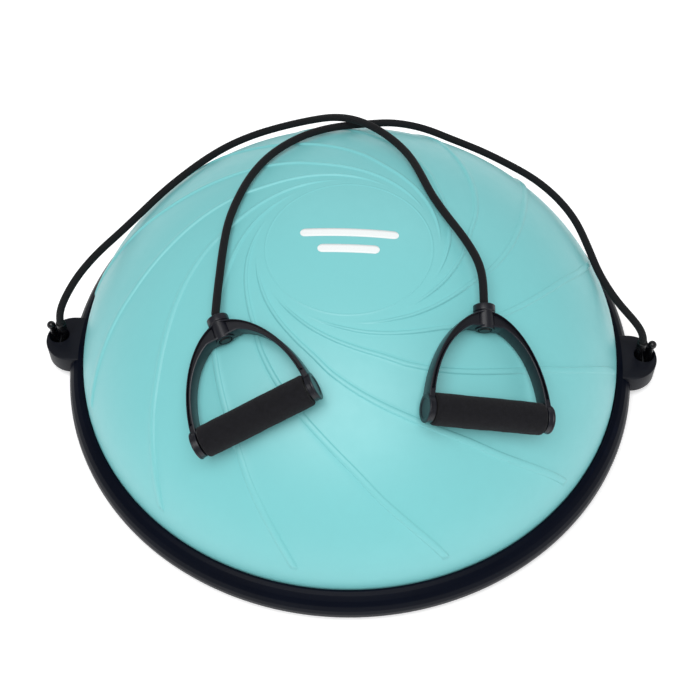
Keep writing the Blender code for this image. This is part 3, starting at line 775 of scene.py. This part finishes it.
def dome_radii():
    """Rows of the outer skin, closest at the raised circle, the ribs' ends and the foot."""
    rows = list(np.linspace(0.006, 0.0768, 14))
    rows += [0.0795, 0.0803, 0.0808, 0.0813, 0.0818, 0.0823, 0.0831]
    rows += list(np.linspace(0.0845, 0.104, 24))
    rows += list(np.linspace(0.1055, 0.268, 86))
    rows += [0.2700, 0.2718, 0.2734, 0.2746, 0.2754, 0.2760, 0.2765, 0.2770, 0.2775, 0.2782]
    start = math.acos(0.2782 / DOME_RADIUS)
    for i in range(1, 10):
        rows.append(DOME_RADIUS * math.cos(start * (1 - i / 9)))
    return rows


def dome_row(r):
    """(angle, height above the skin) of each point round the dome at a radius."""
    step = 0.0005
    turn = rib_turn(r)
    slope = (rib_turn(r + step) - rib_turn(r - step)) / (2 * step)
    inner = max(r, RIB_PATH[0][0])
    if r < RIB_PATH[0][0]:
        slope = (rib_turn(inner + 2 * step) - rib_turn(inner)) / (2 * step)
    rise = float(dome_at(inner) - dome_at(inner - step)) / step if inner < 0.281 else -8.0
    along = inner * slope / math.sqrt(1 + rise * rise)
    spread = math.sqrt(1 + along * along) / inner
    half = rib_half_width(inner)
    lift = rib_rise(r) * RIB_HEIGHT
    pitch = 2 * math.pi / RIB_COUNT
    row = []
    for k in range(RIB_COUNT):
        middle = RIB_START + turn + k * pitch
        edges = [(share * half + extra) * spread for share, extra, _ in RIB_SECTION]
        for angle, (_, _, height) in zip(edges, RIB_SECTION):
            row.append((middle + angle, height * lift))
        gap = pitch - edges[-1] + edges[0]
        for i in range(1, DOME_COLUMN_GAPS):
            row.append((middle + edges[-1] + gap * i / DOME_COLUMN_GAPS, 0.0))
    return row


def circle_lift(r):
    """The thin raised line round the middle of the dome."""
    return CIRCLE_HEIGHT * math.exp(-(((r - CIRCLE_RADIUS) / CIRCLE_SPREAD) ** 2))


def dome_slope(r):
    if r >= DOME_RADIUS - 2e-5:
        return -200.0
    return float(dome_at(r + 1e-5) - dome_at(r - 1e-5)) / 2e-5


def build_dome(materials):
    """The dome as one closed wall: outer skin with ribs, bead, and inner skin."""
    radii = dome_radii()
    columns = len(dome_row(0.2))
    verts = [(0, 0, float(dome_at(0)))]
    for r in radii:
        normal = Vector((-dome_slope(r), 1)).normalized()
        for angle, height in dome_row(r):
            lift = height + circle_lift(r)
            rr = r + normal.x * lift
            z = float(dome_at(r)) + normal.y * lift
            verts.append((rr * math.cos(angle), rr * math.sin(angle), z))
    inside = DOME_BEAD + [(r - 0.0030, float(dome_at(r)) - 0.0022) for r in DOME_INNER_RADII]
    for r, z in inside:
        for angle, _ in dome_row(0.2815):
            verts.append((r * math.cos(angle), r * math.sin(angle), z))
    verts.append((0, 0, float(dome_at(0)) - 0.003))
    rings = len(radii) + len(inside)
    faces = [(0, 1 + j, 1 + (j + 1) % columns) for j in range(columns)]
    for i in range(rings - 1):
        a, b = 1 + i * columns, 1 + (i + 1) * columns
        for j in range(columns):
            k = (j + 1) % columns
            faces.append((a + j, b + j, b + k, a + k))
    last, end = 1 + (rings - 1) * columns, len(verts) - 1
    faces += [(last + j, end, last + (j + 1) % columns) for j in range(columns)]
    dome = new_piece("dome_skin", verts, faces, materials["dome_pvc"], sharp=0)
    settle(dome, "base", "dome_pvc", "dome_bladder")


def build_print(materials):
    """Two plain printed bars on the top of the dome."""
    rows = PRINT_ROWS
    for name, (x, y), long, wide in PRINT_BARS:
        verts, faces = [], []
        for i in range(rows):
            u = -long * math.cos(math.pi * i / (rows - 1))
            inside = max(0.0, abs(u) - (long - wide))
            half = math.sqrt(max(wide**2 - inside**2, 0.0)) if inside < wide else 0.0
            half = max(half, 0.0002)
            for v in np.linspace(-half, half, 5):
                px, py = x + u, y + v
                for lift in (0.00016, 0.00002):
                    verts.append((px, py, float(dome_at(math.hypot(px, py))) + lift))
        for i in range(rows - 1):
            for j in range(4):
                a, b = (i * 5 + j) * 2, ((i + 1) * 5 + j) * 2
                faces.append((a, b, b + 2, a + 2))
                faces.append((a + 1, a + 3, b + 3, b + 1))
            for j in (0, 4):
                a, b = (i * 5 + j) * 2, ((i + 1) * 5 + j) * 2
                faces.append((a, a + 1, b + 1, b) if j == 0 else (a, b, b + 1, a + 1))
        for i in (0, rows - 1):
            for j in range(4):
                a = (i * 5 + j) * 2
                faces.append((a, a + 2, a + 3, a + 1) if i == 0 else (a, a + 1, a + 3, a + 2))
        piece = new_piece(f"print_bar_{name}", verts, faces, materials["print_ink"], sharp=0)
        settle(piece, "base", "dome_pvc")


# ---------------------------------------------------------------- rim, lugs and hooks


def build_rim(materials):
    """The clamping rim, a band turned from its section."""
    profile = [
        (0.2825, 0.0346),
        (0.2832, 0.0357),
        (0.2851, 0.0357),
        (0.2889, 0.0344),
        (0.2935, 0.0312),
        (0.2970, 0.0268),
        (0.2992, 0.0215),
        (0.3000, 0.0160),
        (0.2996, 0.0105),
        (0.2980, 0.0060),
        (0.2968, 0.0035),
        (0.2958, 0.0035),
        (0.2958, 0.0100),
        (0.2889, 0.0100),
        (0.2889, 0.0290),
        (0.2825, 0.0309),
    ]
    profile = rounded(profile, 0.0006, 3, closed=True)
    rim = turned("rim_band", profile, materials["rim_plastic"], 288, closed=True, sharp=30)
    settle(rim, "base", "rim_plastic", "clamp_rim")


def lug_reach(angle):
    """How far the lug's outline is from the eye's middle in a direction."""
    dx, dy = math.cos(angle), math.sin(angle)
    low, high = 0.0, 0.08
    for _ in range(40):
        middle = (low + high) / 2
        x, y = EYE_X + dx * middle, EYE_Y + dy * middle
        round_end = math.hypot(x - LUG_CENTRE, y) < LUG_RADIUS
        inside = x > LUG_ROOT and (round_end if x > LUG_CENTRE else abs(y) < LUG_RADIUS)
        low, high = (middle, high) if inside else (low, middle)
    return low


def eye_reach(angle):
    """How far the eye's oval wall is from its middle in a direction."""
    return 1 / math.hypot(math.cos(angle) / EYE_LONG, math.sin(angle) / EYE_WIDE)


def build_lug(side, sign, materials):
    """From the middle of the eye's floor up its wall, over the top, down the outside and under."""
    bottom, top, floor = LUG_BOTTOM_Z, LUG_TOP_Z, EYE_FLOOR_Z
    rings = [
        ("eye", -0.0016, floor),
        ("eye", -0.0004, floor + 0.0003),
        ("eye", 0.0, floor + 0.0012),
        ("eye", 0.0, top - 0.0010),
        ("eye", 0.0003, top - 0.0003),
        ("eye", 0.0010, top),
        ("outer", 0.0016, top),
        ("outer", 0.0008, top - 0.00015),
        ("outer", 0.00025, top - 0.0006),
        ("outer", 0.0, top - 0.0014),
        ("outer", 0.0, bottom + 0.0008),
        ("outer", 0.0008, bottom),
    ]
    count = 96
    verts = []
    for kind, shift, z in rings:
        for j in range(count):
            a = 2 * math.pi * j / count
            reach = eye_reach(a) + shift if kind == "eye" else lug_reach(a) - shift
            verts.append((sign * (EYE_X + reach * math.cos(a)), EYE_Y + reach * math.sin(a), z))
    faces = ring_faces(len(rings), count, flip=sign > 0)
    floor_middle, under_middle = len(verts), len(verts) + 1
    verts += [(sign * EYE_X, EYE_Y, floor), (sign * EYE_X, EYE_Y, bottom)]
    last = (len(rings) - 1) * count
    for j in range(count):
        k = (j + 1) % count
        fans = [(floor_middle, k, j), (under_middle, last + j, last + k)]
        faces += fans if sign < 0 else [fan[::-1] for fan in fans]
    lug = new_piece(f"lug_body_{side}", verts, faces, materials["lug_plastic"], sharp=35)
    settle(lug, "base", "lug_plastic", f"lug_{side}")


def build_hook(side, sign, materials):
    """A J-shaped bar round the lug's pin, with a ball tip and a socket for the cord."""
    inner, outer = EYE_X - HOOK_BEND, EYE_X + HOOK_BEND
    line = [(inner, z) for z in (0.0475, 0.0440, 0.0400, 0.0360, 0.0320, 0.0280, 0.0245)]
    for i in range(17):
        a = math.pi + math.pi * i / 16
        line.append((EYE_X + HOOK_BEND * math.cos(a), HOOK_BEND_Z + HOOK_BEND * math.sin(a)))
    line += [(outer, z) for z in (0.0250, 0.0300, 0.0350, 0.0400)]
    line += [(outer + 0.0001, 0.0440), (outer + 0.0002, 0.0475), (HOOK_TIP_X, HOOK_TIP_Z)]
    line = [(sign * x, EYE_Y, z) for x, z in line]
    plastic = materials["hook_plastic"]
    bar = swept(f"hook_bar_{side}", line, HOOK_RADIUS, plastic, sides=20)
    settle(bar, "base", "hook_plastic", f"cord_hook_{side}")
    tip = ball(f"hook_tip_{side}", (sign * HOOK_TIP_X, EYE_Y, HOOK_TIP_Z), HOOK_TIP_RADIUS, plastic)
    settle(tip, "base", "hook_plastic")
    profile = [
        (0, 0.0553),
        (0.0041, 0.0553),
        (0.0042, 0.0560),
        (0.0046, 0.0565),
        (0.0053, 0.0556),
        (0.0053, 0.0450),
        (0.0030, 0.0420),
        (0, 0.0420),
    ]
    socket = turned(f"hook_socket_{side}", rounded(profile, 0.0004, 2), plastic, 32)
    socket.data.transform(Matrix.Translation((sign * inner, EYE_Y, 0)))
    settle(socket, "base", "hook_plastic")


# ---------------------------------------------------------------- handles


def arch_points(angle):
    """Matching points on the bow's outer and inner edges, the inner one flat under the hub."""
    c, s = math.cos(angle), math.sin(angle)
    power = 2 / YOKE_POWER
    outer = Vector((math.copysign(abs(c) ** power, c) * YOKE_HALF_WIDTH, abs(s) ** power * YOKE_RISE))
    inner = Vector((c * YOKE_INNER_HALF, s * YOKE_INNER_RISE))
    inner.y = min(inner.y, YOKE_INNER_FLAT)
    return outer, inner


def arm_section(width, groove):
    """Points round an arm: a channel sunk in both faces between two edge flanges."""
    half, edge, outer, inner = YOKE_HALF_DEPTH, 0.0008, 0.0013, 0.0016
    face = [
        (0, half - edge),
        (edge * 0.3, half - edge * 0.3),
        (edge, half),
        (outer, half),
        (outer + 0.0003, half - groove),
        (width - inner - 0.0003, half - groove),
        (width - inner, half),
        (width - edge, half),
        (width - edge * 0.3, half - edge * 0.3),
        (width, half - edge),
    ]
    return face + [(s, -z) for s, z in reversed(face)]


def groove_depth(angle):
    """The channels' depth, which rises from 0 near the end discs."""
    a = min(angle, math.pi - angle)
    return GROOVE_DEPTH * float(np.clip((a - GROOVE_FIRST) / GROOVE_RAMP, 0, 1))


def build_yoke(side, materials):
    """The bow with its channels, the hub with its bore, and the two end discs."""
    frame_here = FRAMES[side]
    plastic = materials["yoke_plastic"]
    stations = sorted(set(
        [math.pi * i / 110 for i in range(111)]
        + [0.20, 0.22, 0.24, math.pi - 0.20, math.pi - 0.22, math.pi - 0.24]
    ))
    verts = []
    for angle in stations:
        outer, inner = arch_points(angle)
        width = (inner - outer).length
        way = (inner - outer).normalized()
        for s, z in arm_section(width, groove_depth(angle)):
            p = outer + way * s
            verts.append(frame_here @ Vector((p.x, p.y, z)))
    sides = len(arm_section(0.006, 0))
    faces = ring_faces(len(stations), sides, flip=True)
    last = (len(stations) - 1) * sides
    faces += [tuple(range(sides)), tuple(range(last, last + sides))[::-1]]
    arch = new_piece(f"yoke_arch_{side}", verts, faces, plastic, sharp=35)
    settle(arch, f"{side}_handle", "yoke_plastic", f"yoke_{side}")

    hub_profile = [
        (0.0043, 0.1050),
        (0.0049, 0.1056),
        (0.0105, 0.1056),
        (0.0105, 0.0995),
        (0.0092, 0.0985),
        (0.0092, HUB_BOTTOM),
        (0.0066, HUB_BOTTOM),
        (0.0066, STOP_BORE_TOP),
        (0.0043, STOP_BORE_TOP),
    ]
    hub_profile = rounded(hub_profile, 0.0009, 4, closed=True)
    hub = turned(f"yoke_hub_{side}", hub_profile, plastic, 64, closed=True)
    hub.data.transform(frame_here @ TO_LINE_Y)
    settle(hub, f"{side}_handle", "yoke_plastic")

    disc_profile = [
        (0, 0.0622),
        (0.0092, 0.0622),
        (0.0100, 0.0630),
        (0.0135, 0.0630),
        (0.0135, 0.0612),
        (0.0129, 0.0606),
        (0.0129, 0.0563),
        (0.0064, 0.0563),
        (0.0064, 0.0612),
        (0, 0.0612),
    ]
    disc_profile = rounded(disc_profile, 0.0009, 4)
    for end, flip in (("a", Matrix.Identity(4)), ("b", Matrix.Rotation(math.pi, 4, "Y"))):
        disc = turned(f"yoke_end_{side}_{end}", disc_profile, plastic, 64)
        disc.data.transform(frame_here @ TO_LINE_X @ flip)
        settle(disc, f"{side}_handle", "yoke_plastic")


def build_foam(side, materials):
    """The foam sleeve: soft round ends, slightly uneven skin."""
    steps, half = 72, FOAM_HALF
    rows = [(0.0083, half - 0.0004), (0.0100, half), (0.0132, half - 0.0001), (0.0143, half - 0.0004)]
    rows += [(0.0149, half - 0.0011), (0.01515, half - 0.0022)]
    inner = np.linspace(half - 0.005, -half + 0.005, 60)
    rows += [(FOAM_RADIUS, float(z)) for z in inner]
    rows += [(r, -z) for r, z in reversed(rows[:6])]
    verts = []
    for r, z in rows:
        for j in range(steps):
            a = 2 * math.pi * j / steps
            lift = 0.0
            if r > 0.0130:
                spot = Vector((math.cos(a) * r, math.sin(a) * r, z))
                lift = 0.00016 * noise.noise(spot * 260) + 0.00022 * noise.noise(spot * 70)
            verts.append(((r + lift) * math.cos(a), (r + lift) * math.sin(a), z))
    faces = ring_faces(len(rows), steps, closed_rings=True, flip=True)
    foam = new_piece(f"foam_sleeve_{side}", verts, faces, materials["grip_foam"], sharp=0)
    foam.data.transform(FRAMES[side] @ TO_LINE_X)
    settle(foam, f"{side}_grip", "grip_foam", f"foam_grip_{side}")


# ---------------------------------------------------------------- carried-over CAD nodes


def dress_cad(materials):
    """Each shown CAD node gets the material of its slot."""
    slots = {
        "base_platform": "platform_plastic",
        "foot_pad": "foot_rubber",
        "clamp_screw": "zinc_steel",
        "lug_pin": "pin_steel",
        "valve_seat": "valve_rubber",
        "valve_plug": "plug_plastic",
        "grip_rod": "rod_plastic",
        "cord_stub": "cord_sleeve",
        "cord_stop": "stop_plastic",
    }
    for name, node in NODES.items():
        if node.hide_render:
            continue
        slot = next(s for prefix, s in slots.items() if name.startswith(prefix))
        for place in node.material_slots:
            place.material = materials[slot]


# ---------------------------------------------------------------- everything


materials = make_materials()
make_camera()
make_stage()
build_cord("left", LEFT_ROUTE, "right", materials)
build_cord("right", RIGHT_ROUTE, "left", materials)
build_dome(materials)
build_print(materials)
build_rim(materials)
for side, sign in (("left", -1), ("right", 1)):
    build_lug(side, sign, materials)
    build_hook(side, sign, materials)
    build_yoke(side, materials)
    build_foam(side, materials)
dress_cad(materials)
